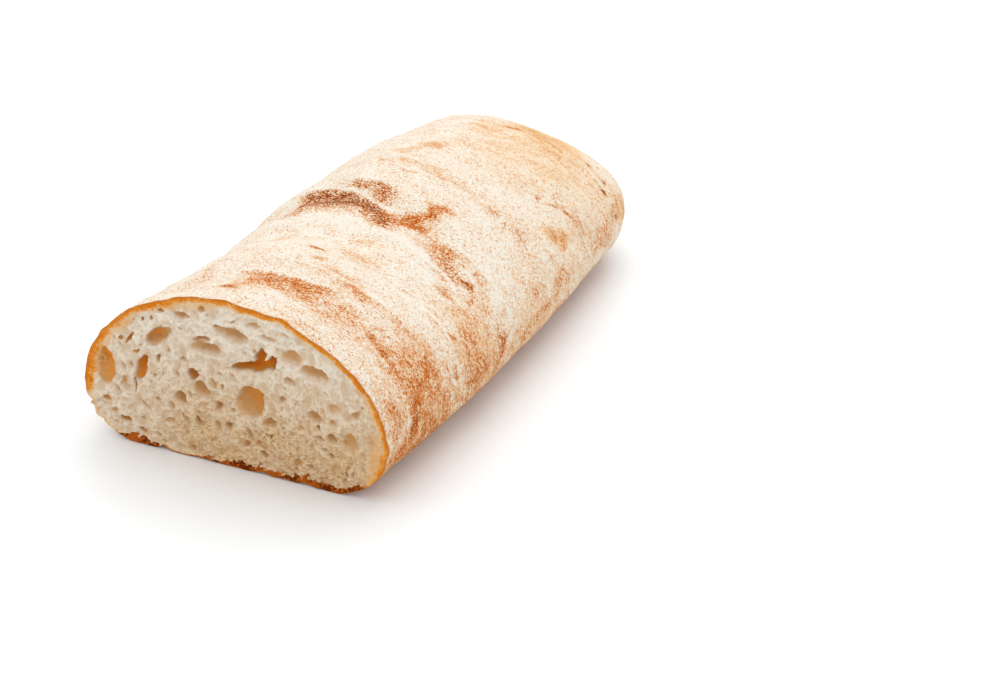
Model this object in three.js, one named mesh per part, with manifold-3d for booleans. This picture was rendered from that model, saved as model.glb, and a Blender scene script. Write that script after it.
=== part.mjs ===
// A ciabatta with its end cut off: a low, folded loaf with an open crumb showing at the flat cut.
// Millimetres: x across the loaf, y from the cut to the far end, z up from the floor.
import * as THREE from 'three';
import { ParametricGeometry } from 'three/addons/geometries/ParametricGeometry.js';
import { mergeVertices } from 'three/addons/utils/BufferGeometryUtils.js';
import Module from 'manifold-3d';

const wasm = await Module();
wasm.setup();

// The whole loaf.
const LENGTH = 235;
const WIDTH = 115;
const HEIGHT = 60;
const WAIST_HEIGHT = 20; // height of the widest line above the floor
const NOSE_LENGTH = 48; // stretch over which the far end rounds off, seen from above
const NOSE_POWER = 3;
const SLOPE_LENGTH = 128; // stretch over which the top comes down to the far end
const SLOPE_POWER = 2.73;

// The rounded section: powers of its superellipses, 2 being a plain ellipse.
const LEFT_POWER = 1.87;
const RIGHT_POWER = 1.94;
const UNDER_POWER = 2.56;
const UNDER_DEPTH = 1.215; // how far the underside would reach past the floor, times the waist height
const TURN = Math.PI * 2;
const BASE_FROM = 0.643 * TURN; // the flat base takes this arc of the section
const BASE_TO = 0.857 * TURN;
const BASE_SHARE = 0.1; // share of the points round the section that it gets

const AROUND = 60;
const ALONG = 55;
const NOSE_SHARE = 0.34; // share of the stations that go to the rounded end

// Folds of the dough: where each crosses the section (degrees) and how far back it lies there,
// its depth and half-width; a negative depth is a raised pleat.
const FOLDS = [
  { from: 172, mid: 112, to: 66, back: [72, 103, 91], depth: 2.3, width: 5 },
  { from: 66, mid: 38, to: 4, back: [91, 79, 78], depth: 0.9, width: 6 },
  { from: 150, mid: 98, to: 56, back: [62, 90, 78], depth: -1.3, width: 6 },
  { from: 118, mid: 97, to: 76, back: [112, 107, 101], depth: 1.0, width: 3.5 },
  { from: 160, mid: 100, to: 44, back: [60, 67, 58], depth: 0.8, width: 5 },
  { from: 118, mid: 84, to: 40, back: [15, 24, 27], depth: 0.7, width: 5 },
  { from: 130, mid: 70, to: 20, back: [40, 48, 46], depth: -0.7, width: 7 },
  { from: 122, mid: 92, to: 66, back: [146, 149, 143], depth: 0.7, width: 5 },
  { from: 60, mid: 34, to: 8, back: [140, 150, 165], depth: 0.6, width: 6 },
  { from: 110, mid: 70, to: 34, back: [186, 181, 190], depth: 0.6, width: 6 },
  { from: 176, mid: 140, to: 112, back: [120, 128, 126], depth: 0.8, width: 6 },
];
const FOLD_EDGE = 22; // degrees over which a fold fades in and out at its ends
const FOLD_FRONT = 2.1; // the side of a fold towards the cut is this much wider, so it rises gently there
const SWELL = 0.7; // low uneven swelling of the whole crust

// The cut face: a crust rim stands a little proud of the crumb.
const RIM = 2;
const BOTTOM_RIM = 1.2;
const CRUMB_STEP = 0.6;

// Large cells of the crumb: place on the cut, width, height, depth and lean in degrees.
const CELLS = [
  { x: -46, z: 25, w: 8, h: 15, depth: 2.6, lean: 8 },
  { x: -32.2, z: 28.8, w: 4.6, h: 10.6, depth: 7, lean: -24 },
  { x: -25.6, z: 40.6, w: 10, h: 6.4, depth: 4.5, lean: 34 },
  { x: -16.4, z: 50.4, w: 6.4, h: 3, depth: 2.5, lean: 8 },
  { x: -11, z: 43.8, w: 10, h: 5.6, depth: 3.6, lean: 10 },
  { x: -5.5, z: 40, w: 7.6, h: 5, depth: 4.2, lean: -8 },
  { x: 1.8, z: 48.2, w: 13, h: 6.6, depth: 4, lean: -10 },
  { x: 8, z: 38.4, w: 13, h: 3.4, depth: 8, lean: 14 },
  { x: 12.1, z: 42.6, w: 4.4, h: 7.6, depth: 9, lean: -22 },
  { x: 16.3, z: 41.6, w: 4, h: 5.8, depth: 8, lean: -8 },
  { x: 23.6, z: 43.8, w: 8.4, h: 5.6, depth: 4.2, lean: -20 },
  { x: 32.2, z: 40.4, w: 11.4, h: 6.4, depth: 4.4, lean: -22 },
  { x: 8.4, z: 25.8, w: 10, h: 12.4, depth: 6.5, lean: -16 },
  { x: -8.4, z: 25.6, w: 5.6, h: 7.8, depth: 4.6, lean: 24 },
  { x: -12.1, z: 31.4, w: 4, h: 3.8, depth: 6, lean: 0 },
  { x: -18.1, z: 21.4, w: 5.4, h: 4.6, depth: 3.4, lean: 30 },
  { x: 15.5, z: 19.2, w: 4.6, h: 4.2, depth: 3.2, lean: -10 },
  { x: 31.6, z: 25.2, w: 6.4, h: 5.6, depth: 4, lean: 20 },
  { x: 38.4, z: 29.6, w: 5.6, h: 5, depth: 2.4, lean: 0 },
  { x: 37.4, z: 18.9, w: 5.2, h: 4.8, depth: 3, lean: 24 },
  { x: 44, z: 18.4, w: 4.8, h: 7.6, depth: 2.4, lean: 12 },
  { x: 0.4, z: 14.4, w: 3.8, h: 4.2, depth: 3, lean: 20 },
  { x: -39.6, z: 7.6, w: 5, h: 2.8, depth: 4, lean: -22 },
  { x: -39.7, z: 19.4, w: 2.4, h: 6.6, depth: 2.4, lean: 4 },
  { x: 23.2, z: 34.8, w: 5, h: 2.8, depth: 2, lean: 0 },
  { x: 9.4, z: 54, w: 5.4, h: 2, depth: 1.8, lean: -14 },
];
const FINE_CELLS = 50;
const FINE_CELL = 2.7; // mean width of the fine cells
const FINE_MIDDLE = 26; // height their spiral starts from
const FINE_REACH = 0.9; // share of the way to the crust that they fill
const GOLDEN_ANGLE = 2.39996;
const LUMP = 0.12; // how uneven the wall of a cell is
// Breaks in the bottom crust at the cut: distance across, width and height.
const BREAKS = [
  { x: -25, w: 3.6, h: 1.7 },
  { x: 12, w: 5, h: 1.2 },
  { x: 28, w: 4, h: 1 },
];
const CRUST_COLOUR = 0xdcb88e;
const CRUST_ROUGHNESS = 0.9;

const rad = THREE.MathUtils.degToRad;
const smooth = THREE.MathUtils.smoothstep;
const bell = (value) => Math.exp(-value * value);
const power = (value, exponent) => Math.sign(value) * Math.abs(value) ** exponent;
const roundOff = (share, exponent) => Math.max(0, 1 - share ** exponent) ** (1 / exponent);

// Half-widths, height and sideways drift of the section, at a distance y from the cut.
function sectionAt(y) {
  const share = y / LENGTH;
  const nose = roundOff(Math.max(0, 1 - (LENGTH - y) / NOSE_LENGTH), NOSE_POWER);
  const slope = roundOff(Math.max(0, 1 - (LENGTH - y) / SLOPE_LENGTH), SLOPE_POWER);
  const pinch = 0.15 * bell((y - 44.6) / 42);
  const left = 1 - 0.034 * share - 0.449 * share ** 2 - pinch;
  const right = 1 + 0.287 * share - 0.244 * share ** 2;
  const rise = 1 + 0.031 * share - 0.056 * share ** 2 - 0.11 * bell((y - 74.8) / 23.6);
  return {
    nose,
    left: (WIDTH / 2) * left * nose,
    right: (WIDTH / 2) * right * nose,
    top: (HEIGHT * rise - WAIST_HEIGHT) * slope,
    drift: WIDTH * (0.013 * share - 0.048 * share ** 2),
  };
}

// How far the crust stands out from the plain shape, at an angle (degrees) and distance y.
function relief(angle, y) {
  let out = SWELL * Math.sin(y / 17 + 1) * Math.sin(rad(angle) * 3 - y / 40);
  out += SWELL * 0.6 * Math.sin(y / 9.5) * Math.sin(rad(angle) * 5 + y / 23);
  for (const fold of FOLDS) {
    const half = angle > fold.mid ? fold.from - fold.mid : fold.mid - fold.to;
    const share = (angle - fold.mid) / half;
    const end = fold.back[angle > fold.mid ? 0 : 2];
    const line = fold.back[1] + (end - fold.back[1]) * share ** 2;
    const fade = 1 - smooth(Math.abs(share) * half, half - FOLD_EDGE / 2, half + FOLD_EDGE / 2);
    const width = y < line ? fold.width * FOLD_FRONT : fold.width;
    out -= fold.depth * fade * bell((y - line) / width);
  }
  return out;
}

// A point of the crust at an angle (radians) round the section.
function crustPoint(angle, y, target) {
  const section = sectionAt(y);
  const across = Math.cos(angle);
  const up = Math.sin(angle);
  const half = across < 0 ? section.left : section.right;
  const over = across < 0 ? LEFT_POWER : RIGHT_POWER;
  const exponent = 2 / (up < 0 ? UNDER_POWER : over);
  const reach = up < 0 ? WAIST_HEIGHT * UNDER_DEPTH * section.nose : section.top;
  const x = power(across, exponent) * half;
  const z = power(up, exponent) * reach;
  const radius = Math.hypot(x, z);
  const degrees = THREE.MathUtils.radToDeg(angle);
  const side = degrees > 270 ? degrees - 360 : degrees;
  const fade = smooth(z + WAIST_HEIGHT, 2, 16) * smooth(radius, 6, 34) * smooth(y, -4, 8);
  const grown = 1 + (fade * relief(side, y)) / Math.max(radius, 1);
  target.set(x * grown + section.drift, y, Math.max(0, z * grown + WAIST_HEIGHT));
}

// Angle round the section: close points over the crust, wide ones across the flat base.
function angleAt(u) {
  const share = (1 - u) % 1;
  const shown = TURN - (BASE_TO - BASE_FROM);
  if (share < 1 - BASE_SHARE) return (BASE_TO - TURN + (share / (1 - BASE_SHARE)) * shown + TURN) % TURN;
  return BASE_FROM + ((share - 1 + BASE_SHARE) / BASE_SHARE) * (BASE_TO - BASE_FROM);
}

// The first stack closes the cut with a flat face, the last one ends in a point.
function loafSkin(u, v, target) {
  const station = v * ALONG - 1;
  if (station < 0) {
    target.set(0, 0, WAIST_HEIGHT);
    return;
  }
  const share = station / (ALONG - 1);
  const straight = LENGTH - NOSE_LENGTH;
  const round = Math.max(0, (share - 1 + NOSE_SHARE) / NOSE_SHARE) ** 1.5 * (TURN / 4);
  const y = round > 0
    ? straight + NOSE_LENGTH * Math.sin(round) ** (2 / NOSE_POWER)
    : (straight * share) / (1 - NOSE_SHARE);
  crustPoint(angleAt(u), share < 1 ? y : LENGTH, target);
}

function solidOf(geometry) {
  geometry.deleteAttribute('normal');
  geometry.deleteAttribute('uv');
  const merged = mergeVertices(geometry, 1e-3);
  const source = merged.index.array;
  const kept = [];
  for (let i = 0; i < source.length; i += 3) {
    const [a, b, c] = source.slice(i, i + 3);
    if (a !== b && b !== c && c !== a) kept.push(a, b, c);
  }
  const solid = new wasm.Manifold(new wasm.Mesh({
    numProp: 3,
    vertProperties: merged.attributes.position.array,
    triVerts: new Uint32Array(kept),
  }));
  return solid;
}

// An uneven ball, the room a gas bubble leaves in the crumb.
function bubble({ x, z, w, h, depth, lean }, detail, seed) {
  const ball = new THREE.IcosahedronGeometry(1, detail);
  const place = ball.attributes.position;
  const point = new THREE.Vector3();
  for (let i = 0; i < place.count; i += 1) {
    point.fromBufferAttribute(place, i);
    const lump = Math.sin(2 * point.x + seed) + Math.cos(2.6 * point.z - 2 * seed);
    point.multiplyScalar(1 + LUMP * lump);
    place.setXYZ(i, point.x, point.y, point.z);
  }
  ball.scale(w / 2, depth, h / 2);
  ball.rotateY(-rad(lean));
  ball.translate(x, CRUMB_STEP, z);
  return solidOf(ball);
}

// The shallow step inside the crust rim.
function crumbStep() {
  const rim = new THREE.Vector3();
  const plug = new ParametricGeometry((u, v, target) => {
    crustPoint(angleAt(u), 0, rim);
    const y = v < 0.5 ? -1 : CRUMB_STEP;
    const inside = v > 0.1 && v < 0.9 ? 1 : 0;
    const radius = Math.hypot(rim.x, rim.z - WAIST_HEIGHT);
    const shrink = inside * (1 - RIM / radius);
    const z = WAIST_HEIGHT + (rim.z - WAIST_HEIGHT) * shrink;
    target.set(rim.x * shrink, y, inside ? Math.max(BOTTOM_RIM, z) : WAIST_HEIGHT);
  }, AROUND, 3);
  return solidOf(plug);
}

// Fine cells spread over the crumb in a golden-angle spiral that follows the outline of the cut.
function fineCell(index) {
  const share = FINE_REACH * Math.sqrt((index + 0.5) / FINE_CELLS);
  const edge = new THREE.Vector3();
  crustPoint((index * GOLDEN_ANGLE) % TURN, 0, edge);
  const size = FINE_CELL * (1 + 0.35 * Math.sin(index * 1.7));
  return {
    x: edge.x * share,
    z: FINE_MIDDLE + (edge.z - FINE_MIDDLE) * share,
    w: size * (1 + 0.25 * Math.sin(index * 2.9)),
    h: size,
    depth: size * 0.6,
    lean: 70 * Math.sin(index * 4.1),
  };
}

const cuts = [crumbStep()];
CELLS.forEach((cell, index) => cuts.push(bubble(cell, cell.w * cell.h > 24 ? 2 : 1, index)));
for (let index = 0; index < FINE_CELLS; index += 1) {
  const cell = fineCell(index);
  const clear = CELLS.every((other) => Math.hypot(cell.x - other.x, cell.z - other.z) > (other.w + cell.w) / 2);
  if (clear) cuts.push(bubble(cell, 1, index));
}
BREAKS.forEach(({ x, w, h }, index) => {
  cuts.push(bubble({ x, z: 0, w, h: h * 2, depth: 3, lean: 0 }, 1, index));
});

const whole = solidOf(new ParametricGeometry(loafSkin, AROUND, ALONG));
const carved = cuts.reduce((left, cut) => left.subtract(cut), whole);
const pieces = carved.decompose().sort((a, b) => b.volume() - a.volume());
const made = pieces[0].getMesh();
const geometry = new THREE.BufferGeometry();
geometry.setAttribute('position', new THREE.BufferAttribute(Float32Array.from(made.vertProperties), 3));
geometry.setIndex(new THREE.BufferAttribute(Uint32Array.from(made.triVerts), 1));
geometry.computeBoundingBox();
const middle = geometry.boundingBox.getCenter(new THREE.Vector3());
geometry.translate(-middle.x, -middle.y, -geometry.boundingBox.min.z);
geometry.computeVertexNormals();

const crust = new THREE.MeshStandardMaterial({
  color: CRUST_COLOUR,
  roughness: CRUST_ROUGHNESS,
  metalness: 0,
});
const loaf = new THREE.Mesh(geometry, crust);
loaf.name = 'loaf';
const ciabatta = new THREE.Group();
ciabatta.name = 'ciabatta';
ciabatta.add(loaf);

export default ciabatta;
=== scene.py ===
# A cut ciabatta loaf, dressed over its solid frame. Lengths in the tables are millimetres.
import bpy
import numpy as np
from mathutils import Matrix, Vector


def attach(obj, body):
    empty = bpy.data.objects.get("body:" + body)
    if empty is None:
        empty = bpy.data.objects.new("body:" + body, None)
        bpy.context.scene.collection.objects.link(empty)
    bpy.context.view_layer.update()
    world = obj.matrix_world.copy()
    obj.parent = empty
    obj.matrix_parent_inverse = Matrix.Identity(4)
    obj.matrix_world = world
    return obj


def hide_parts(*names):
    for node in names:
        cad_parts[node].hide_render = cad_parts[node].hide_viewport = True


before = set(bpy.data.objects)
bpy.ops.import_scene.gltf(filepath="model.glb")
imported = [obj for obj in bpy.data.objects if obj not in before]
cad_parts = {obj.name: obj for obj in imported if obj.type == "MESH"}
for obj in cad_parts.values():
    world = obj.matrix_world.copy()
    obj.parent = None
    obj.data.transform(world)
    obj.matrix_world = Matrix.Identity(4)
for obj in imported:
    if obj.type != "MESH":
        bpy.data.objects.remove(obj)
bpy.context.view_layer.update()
mm = 0.001
turn = 2 * np.pi


# repeatable random values and noise, as whole arrays

latticeFactors = (374761393, 668265263, 1274126177, 974711)
largestWord = 0xffffffff


def scatter(ix, iy, iz, seed):
    # one number from 0 to 1 for each lattice point: its whole numbers are multiplied, xored and folded
    n = sum(part * factor for part, factor in zip((ix, iy, iz, seed), latticeFactors))
    n, word = (n & largestWord).astype(np.uint64), np.uint64(largestWord)
    n = ((n ^ (n >> np.uint64(13))) * np.uint64(1103515245)) & word
    n = ((n ^ (n >> np.uint64(16))) * np.uint64(latticeFactors[1])) & word
    n = n ^ (n >> np.uint64(15))
    return n.astype(float) / largestWord


def waves(x, y, z, seed=0):
    # value noise from -1 to 1: the eight lattice numbers round a point, blended by 3t^2 - 2t^3 along each
    # axis; the seed picks another pattern
    ix, iy, iz = (np.floor(v).astype(np.int64) for v in (x, y, z))
    tx, ty, tz = (v - np.floor(v) for v in (x, y, z))
    tx, ty, tz = (t * t * (3 - 2 * t) for t in (tx, ty, tz))
    total = 0
    for dx in (0, 1):
        for dy in (0, 1):
            for dz in (0, 1):
                share = (tx if dx else 1 - tx) * (ty if dy else 1 - ty) * (tz if dz else 1 - tz)
                total = total + share * scatter(ix + dx, iy + dy, iz + dz, seed)
    return total * 2 - 1


def roughened(x, y, z, octaves, seed=0):
    # sum of noises, each twice as fine and half as strong as the one before
    total, size = 0, 1
    for k in range(octaves):
        total = total + waves(x * 2 ** k, y * 2 ** k, z * 2 ** k, seed + k) * size
        size *= 0.5
    return total


def smooth(v, low, high):
    # 0 below low, 1 above high, 3t^2 - 2t^3 between
    t = np.clip((v - low) / (high - low), 0, 1)
    return t * t * (3 - 2 * t)


def bell(v):
    # exp(-v^2)
    return np.exp(-v * v)


def hump(v, amount, place, half):
    # a bell round a place: its height, where it stands and its half-width
    return amount * bell((v - place) / half)


def bent(v, exponent):
    # sign(v) |v|^exponent
    return np.sign(v) * np.abs(v) ** exponent


# the form of the loaf

loafSizes = {
    "length": 235, "width": 115, "height": 60, "waist": 20,
    "nose": 48, "nosePower": 3, "slope": 128, "slopePower": 2.73,
    "leftPower": 1.87, "rightPower": 1.94, "underPower": 2.56, "underDepth": 1.215,
    # how both half-widths, the height and the drift sideways change with the share of the length, and with
    # its square
    "leftTaper": (-0.034, -0.449), "rightTaper": (0.287, -0.244), "rise": (0.031, -0.056),
    "drift": (0.013, -0.048),
    # where the left side is pinched in and where the top dips: how much, how far back, half-width
    "pinch": (0.15, 44.6, 42), "dip": (0.11, 74.8, 23.6),
    # the uneven swelling: its height, then for each part its share of that, its period and shift along the
    # loaf, its lobes round the loaf and how slowly they turn
    "swell": 0.7, "swells": [(1, 17, 1, 3, -40), (0.6, 9.5, 0, 5, 23)],
    # over how many degrees a fold fades out at each end, and how many times wider it is in front
    "foldEdge": 22, "foldFront": 2.1,
    # over which heights, distances from the axis and distances from the cut the relief fades in
    "floorFade": (2, 16), "axisFade": (6, 34), "cutFade": (-4, 8),
}
# from, middle and to in degrees round the section, how far back the fold lies there, depth and half-width
loafFolds = [
    (172, 112, 66, 72, 103, 91, 2.3, 5), (66, 38, 4, 91, 79, 78, 0.9, 6),
    (150, 98, 56, 62, 90, 78, -1.3, 6), (118, 97, 76, 112, 107, 101, 1.0, 3.5),
    (160, 100, 44, 60, 67, 58, 0.8, 5), (118, 84, 40, 15, 24, 27, 0.7, 5),
    (130, 70, 20, 40, 48, 46, -0.7, 7), (122, 92, 66, 146, 149, 143, 0.7, 5),
    (60, 34, 8, 140, 150, 165, 0.6, 6), (110, 70, 34, 186, 181, 190, 0.6, 6),
    (176, 140, 112, 120, 128, 126, 0.8, 6),
]


def roundOff(share, exponent):
    # (1 - share^exponent)^(1 / exponent), a quarter of a superellipse
    return np.maximum(1 - share ** exponent, 0) ** (1 / exponent)


def tapered(share, first, second):
    # 1 + first share + second share^2
    return 1 + first * share + second * share ** 2


def foldLine(degrees, start, middle, end, a, b, c):
    # a parabola on each side of the middle, b + (a or c - b) share^2, then the degrees off the middle and
    # the degrees from the middle to that end
    left = degrees > middle
    half = np.where(left, start - middle, middle - end)
    share = (degrees - middle) / half
    return b + (np.where(left, a, c) - b) * share ** 2, np.abs(share) * half, half


def relief(degrees, y):
    # two slow products of sines, minus a bell across each fold's line, wider in front, faded at its ends
    loaf = loafSizes
    out = 0
    for share, period, shift, lobes, twist in loaf["swells"]:
        lobed = np.sin(np.radians(degrees) * lobes + y / twist)
        out = out + loaf["swell"] * share * np.sin(y / period + shift) * lobed
    for start, middle, end, a, b, c, depth, width in loafFolds:
        line, off, half = foldLine(degrees, start, middle, end, a, b, c)
        fade = 1 - smooth(off, half - loaf["foldEdge"] / 2, half + loaf["foldEdge"] / 2)
        out = out - depth * fade * bell((y - line) / np.where(y < line, width * loaf["foldFront"], width))
    return out


def sideways(angle):
    # degrees from the right-hand side up over the top, from -90 to 270
    return np.where(angle > 1.5 * np.pi, np.degrees(angle) - 360, np.degrees(angle))


def crustPoints(angle, y, extra=0):
    # a superellipse at each distance y, with half-widths and a height that shrink to the far end, grown
    # outwards by the relief and by extra
    loaf = loafSizes
    share = y / loaf["length"]
    nose = roundOff(np.clip(1 - (loaf["length"] - y) / loaf["nose"], 0, 1), loaf["nosePower"])
    slope = roundOff(np.clip(1 - (loaf["length"] - y) / loaf["slope"], 0, 1), loaf["slopePower"])
    left = (tapered(share, *loaf["leftTaper"]) - hump(y, *loaf["pinch"])) * nose * loaf["width"] / 2
    right = tapered(share, *loaf["rightTaper"]) * nose * loaf["width"] / 2
    rise = tapered(share, *loaf["rise"]) - hump(y, *loaf["dip"])
    top = (loaf["height"] * rise - loaf["waist"]) * slope
    across, up = np.cos(angle), np.sin(angle)
    over = np.where(across < 0, loaf["leftPower"], loaf["rightPower"])
    exponent = 2 / np.where(up < 0, loaf["underPower"], over)
    x = bent(across, exponent) * np.where(across < 0, left, right)
    z = bent(up, exponent) * np.where(up < 0, loaf["waist"] * loaf["underDepth"] * nose, top)
    radius = np.hypot(x, z)
    fade = smooth(z + loaf["waist"], *loaf["floorFade"]) * smooth(radius, *loaf["axisFade"])
    fade = fade * smooth(y, *loaf["cutFade"])
    grown = 1 + (fade * relief(sideways(angle), y) + extra) / np.maximum(radius, 1)
    first, second = loaf["drift"]
    drift = loaf["width"] * (first * share + second * share ** 2)
    return x * grown + drift, y, np.maximum(z * grown + loaf["waist"], 0)


footprintShift = 3.525  # the section's own axis lies this far left of the footprint's middle


def placed(x, y, z):
    # from the cut's frame to the shared one: the footprint box centred on the origin
    return np.stack([x - footprintShift, y - loafSizes["length"] / 2, z], -1)


edgeLook = {
    # where the crust came away with the slice, in degrees round the cut, and how rough, how fine and how far
    # in the edge is there
    "torn": (186, 191, 220, 228), "tornRough": 0.8, "tornFineness": 18, "tornInset": 0.2,
    # how rough and how fine the edge is elsewhere, from which height on the circle up, and how far back
    "rough": 0.4, "fineness": 9, "roughAbove": (-0.75, -0.3), "reach": 5,
    # a chip of the crust that stands up: height, bearing, half-width in degrees, and how far back
    "flap": (1, 68, 3.2), "flapReach": 2,
}
# the bottom crust: how far its edge is lifted by noise, how coarse that is and how far back it goes, then
# each break with its place across, its half-width and its height
baseLook = {
    "lift": 0.3, "coarseness": 1.3, "reach": 2, "breakReach": 2.6,
    "breaks": [(-25, 1.8, 1.7), (12, 2.5, 1.1), (28, 2, 0.9), (-11, 3, 0.5), (20, 3, 0.5), (-46, 4, 0.7)],
}


def torn(degrees):
    # 1 where the crust came away with the slice, 0 elsewhere, smooth at both ends
    start, whole, fading, end = edgeLook["torn"]
    return smooth(degrees, start, whole) * (1 - smooth(degrees, fading, end))


def flap(degrees, y):
    # a bell round the loaf times a bell back from the cut
    return hump(degrees, *edgeLook["flap"]) * bell(y / edgeLook["flapReach"])


def edgeWobble(angle, y):
    # noise on a circle round the loaf, stronger and finer where the crust is gone, times a bell back from
    # the cut, and the flap
    look = edgeLook
    x, z, degrees = np.cos(angle), np.sin(angle), np.degrees(angle)
    fine, coarse = look["tornFineness"], look["fineness"]
    wobble = look["rough"] * roughened(x * coarse, z * coarse, x * 0 + 3, 3, 40)
    wobble = wobble * smooth(z, *look["roughAbove"])
    frayed = look["tornRough"] * roughened(x * fine, z * fine, x * 0 + 5, 3, 44) - look["tornInset"]
    wobble = wobble + torn(degrees) * frayed
    return wobble * bell(y / look["reach"]) + flap(degrees, y)


def brokenBase(x, y, z):
    # the upper half of a noise across the loaf and a bell across each break, each times a bell back from
    # the cut; the base is lifted to that height
    look = baseLook
    lift = look["lift"] * np.maximum(waves(x / look["coarseness"], x * 0, x * 0 + 7, 50), 0)
    lift = lift * bell(y / look["reach"])
    for place, half, height in look["breaks"]:
        lift = lift + hump(x, height, place, half) * bell(y / look["breakReach"])
    return np.maximum(z, lift)


def makePiece(name, points, faces, layers, finish, uv=None):
    # a mesh from arrays of points and four-cornered faces, with one float layer for each entry of layers
    mesh = bpy.data.meshes.new(name)
    mesh.vertices.add(len(points))
    mesh.vertices.foreach_set("co", (points * mm).astype(np.float32).ravel())
    mesh.loops.add(faces.size)
    mesh.loops.foreach_set("vertex_index", faces.astype(np.int32).ravel())
    mesh.polygons.add(len(faces))
    mesh.polygons.foreach_set("loop_start", np.arange(0, faces.size, 4, dtype=np.int32))
    mesh.update(calc_edges=True)
    mesh.polygons.foreach_set("use_smooth", np.ones(len(faces), bool))
    for layer, values in layers.items():
        attribute = mesh.attributes.new(layer, "FLOAT", "POINT")
        attribute.data.foreach_set("value", values.astype(np.float32).ravel())
    if uv is not None:
        wrap = mesh.uv_layers.new(name="wrap")
        wrap.data.foreach_set("uv", uv[faces.ravel()].astype(np.float32).ravel())
    mesh.materials.append(finish)
    piece = bpy.data.objects.new(name, mesh)
    bpy.context.scene.collection.objects.link(piece)
    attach(piece, "root")
    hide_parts("loaf")
    print(name, len(points), "points", len(faces), "faces")


def tubeFaces(rows, around):
    # the faces between neighbouring rings, closed round; around is the number of points in a ring
    i, j = np.meshgrid(np.arange(rows - 1), np.arange(around), indexing="ij")
    k = (j + 1) % around
    corners = [i * around + j, i * around + k, (i + 1) * around + k, (i + 1) * around + j]
    return np.stack(corners, -1).reshape(-1, 4)


def capFaces(ring):
    # a ring closed by strips that join each point to the one across from it
    i = np.arange(len(ring) // 2 - 1)
    return np.stack([ring[i], ring[i + 1], ring[-2 - i], ring[-1 - i]], -1)


# crust

crustLook = {
    # points round the loaf and along it, how far along the last ring lies, which arc of a turn is the flat
    # base, and the shares of the points that go to the base and to the rounded end
    "round": 280, "along": 318, "end": 0.997, "base": (0.643, 0.857), "baseShare": 0.1, "noseShare": 0.32,
    "noseCrowding": 1.5,
    # how far in and how far back the two rings behind the cut lie
    "lip": 0.6, "lipDepth": 0.3, "throat": 6, "throatDepth": 14, "throatMiddle": 24,
    # heights of the ripples and of the soft blisters, and how far back they are at full height
    "ripple": 0.17, "blister": 0.28, "skinFade": (0, 5),
    # the ripples lean round the right-hand side: by how much, more or less round two places, and from
    # which bearing on; beyond the top they lean the other way
    "slant": 0.15, "bends": [(0.6, 95, 30), (-0.5, 160, 16)], "slantFrom": 65, "backSlant": 0.2,
    # how far back the torn edge is pale, which parts show the crust cut through, and the radius in metres
    # that the wrap is measured on
    "tornFlour": (1, 5), "cutDepth": 0.1, "cutFlap": (0.3, 0.6), "wrapRadius": 0.05,
}


def ringAngles(count):
    # close points over the crust and wide ones across the flat base
    baseShare = crustLook["baseShare"]
    u = np.arange(count) / count
    start, end = (share * turn for share in crustLook["base"])
    shown = turn - (end - start)
    over = end - turn + u / (1 - baseShare) * shown
    under = start + (u - 1 + baseShare) / baseShare * (end - start)
    return np.where(u < 1 - baseShare, over, under) % turn


def drumPoint(angle):
    # a place on a drum about as wide and high as the loaf, where the noises of the skin are read
    return np.cos(angle) * 50, np.sin(angle) * 45


# fine pleats of the skin, each a line as in loafFolds: start, middle, end, how far back it lies at each,
# height, half-width, flour caught on it, partly real flour and partly a painted highlight along the ridge,
# then the rubbed band in front of it: width, how bare, how brown
pleats = [
    (130, 118, 74, 107, 107.5, 92, 0.5, 1.1, 0.45, 15, 0.5, 0.8),
    (107, 96, 80, 111.5, 110.5, 105.5, 0.3, 1, 0.2, 5, 0.42, 0.6),
    (62, 48, 28, 92.5, 92, 88.5, 0.3, 1, 0.15, 7, 0.22, 0.2),
    (40, 20, -4, 92, 90.5, 84, 0.3, 1, 0.25, 3, 0.12, 0.3),
    (101, 84, 64, 24.5, 27, 30.5, 0.4, 1, 0.4, 15, 0.42, 0.06),
    (126, 92, 52, 76, 82, 79, 0.5, 3.5, 0.6, 1, 0, 0),
    (80, 60, 36, 84.5, 79.5, 73, 0.45, 1.1, 0.45, 1, 0, 0),
    (72, 56, 38, 71.5, 72.5, 77, 0.4, 1.1, 0.35, 1, 0, 0),
    (48, 34, 20, 52, 51, 48.5, 0.35, 0.9, 0.4, 3, 0.25, 0.1),
    (128, 104, 80, 62, 70, 71, 0.5, 1.6, 0.4, 4, 0.12, 0.2),
    (24, 15, 6, 57, 59, 57, 0.3, 0.9, 0.3, 3, 0.2, 0.2),
    (18, 10, 1, 43, 44, 45.5, 0.3, 0.8, 0.35, 3, 0.3, 0.3),
    (84, 76, 66, 13.5, 12.8, 12, 0.3, 0.8, 0.3, 1, 0, 0),
    (44, 22, 2, 101, 96, 88.5, 0.3, 1, 0.25, 1, 0, 0),
    (130, 84, 20, 73, 64.5, 50, 0.3, 0.9, 0.2, 2, 0.1, 0),
    (88, 66, 34, 38.5, 37.5, 35, 0.3, 0.9, 0.4, 3, 0.12, 0.1),
    (99, 85, 70, 124.5, 122.5, 122, 0.3, 0.8, 0.15, 2.5, 0.2, 0.4),
    (66, 48, 16, 201, 197, 195, 0.25, 0.8, 0.15, 2, 0.2, 0.4),
    (40, 20, -6, 152, 161, 169, 0.3, 0.9, 0.25, 3, 0.2, 0.2),
    (96, 74, 48, 6, 7.5, 7, 0.25, 0.8, 0.2, 1, 0, 0),
]
# how a pleat fades at its ends, in degrees before and past them, how far it and its band are swayed, and
# how the band starts behind the line and ends
pleatLook = {"fade": (8, 2), "sway": 1.1, "lineSway": 0.4, "bandSway": 1.6, "start": 1.4, "end": (0.45, 1.1)}
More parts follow.
